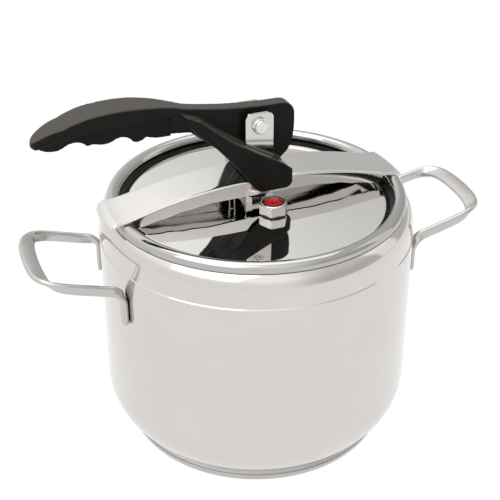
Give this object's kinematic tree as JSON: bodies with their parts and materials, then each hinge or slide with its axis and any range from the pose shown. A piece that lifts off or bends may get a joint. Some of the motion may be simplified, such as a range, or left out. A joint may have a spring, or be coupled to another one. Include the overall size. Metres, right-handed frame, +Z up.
{
  "type": "pressure cooker",
  "caption": "Deep polished steel pot with a rolled rim, loop handles, an inside-sealing domed lid, a rim bridge and a black cam lever with two lid valves.",
  "frame": {"origin": "centre of the base's flat underside, on the pot's axis", "axes": "+Z up along the pot's axis, +X along the bridge away from the lever's grip, -Y towards the relief valve"},
  "size_m": [0.3322, 0.222, 0.2621],
  "materials": {
    "polished_steel": "mirror polished stainless steel",
    "handle_steel": "satin stainless steel",
    "core_aluminium": "plain aluminium",
    "hardware_steel": "turned stainless steel",
    "black_rubber": "matte black silicone",
    "red_plastic": "glossy red",
    "chrome_cap": "polished",
    "black_plastic": "satin black moulded plastic",
    "grip_plastic": "satin black moulded plastic"
  },
  "bodies": {
    "pot": {"pot_body": "polished_steel", "base_cap": "polished_steel", "base_core": "core_aluminium", "left_handle": "handle_steel", "right_handle": "handle_steel", "bridge_bar": "polished_steel"},
    "lid_set": {"lid_panel": "polished_steel", "lid_gasket": "black_rubber", "stud_bracket": "handle_steel", "pivot_pin": "hardware_steel", "pin_washer": "hardware_steel", "relief_valve_body": "hardware_steel", "relief_valve_seal": "black_rubber", "relief_valve_locknut": "hardware_steel", "vent_valve_body": "hardware_steel", "vent_valve_seal": "black_rubber", "vent_valve_locknut": "hardware_steel"},
    "relief_core": {"relief_valve_core": "red_plastic", "relief_retainer": "hardware_steel", "relief_spring": "hardware_steel"},
    "vent_cap": {"vent_valve_cap": "chrome_cap"},
    "lever": {"lever_body": "black_plastic", "cam_shoe_near": "hardware_steel", "cam_shoe_far": "hardware_steel", "lever_bush": "hardware_steel", "grip_insert": "grip_plastic", "grip_screw_front": "hardware_steel", "grip_screw_rear": "hardware_steel"}
  },
  "joints": [
    {"name": "lid_drop", "type": "slide", "parent": "pot", "child": "lid_set", "axis": [0, 0, -1], "range_m": [0, 0.004]},
    {"name": "lever_swing", "type": "hinge", "parent": "lid_set", "child": "lever", "pos_m": [-0.0024, 0, 0.2374], "axis": [0, 1, 0], "range_deg": [0, 90]},
    {"name": "relief_rise", "type": "slide", "parent": "lid_set", "child": "relief_core", "axis": [0, 0, 1], "range_m": [0, 0.0025], "stiffness_N_per_m": 400, "springref_m": -0.003, "deforming": ["relief_spring"]},
    {"name": "vent_lift", "type": "slide", "parent": "lid_set", "child": "vent_cap", "axis": [0, 0, 1], "range_m": [0, 0.003]}
  ],
  "couplings": [
    {"joint": "lid_drop", "follows": "lever_swing", "m_per_rad": 0.0025465}
  ]
}
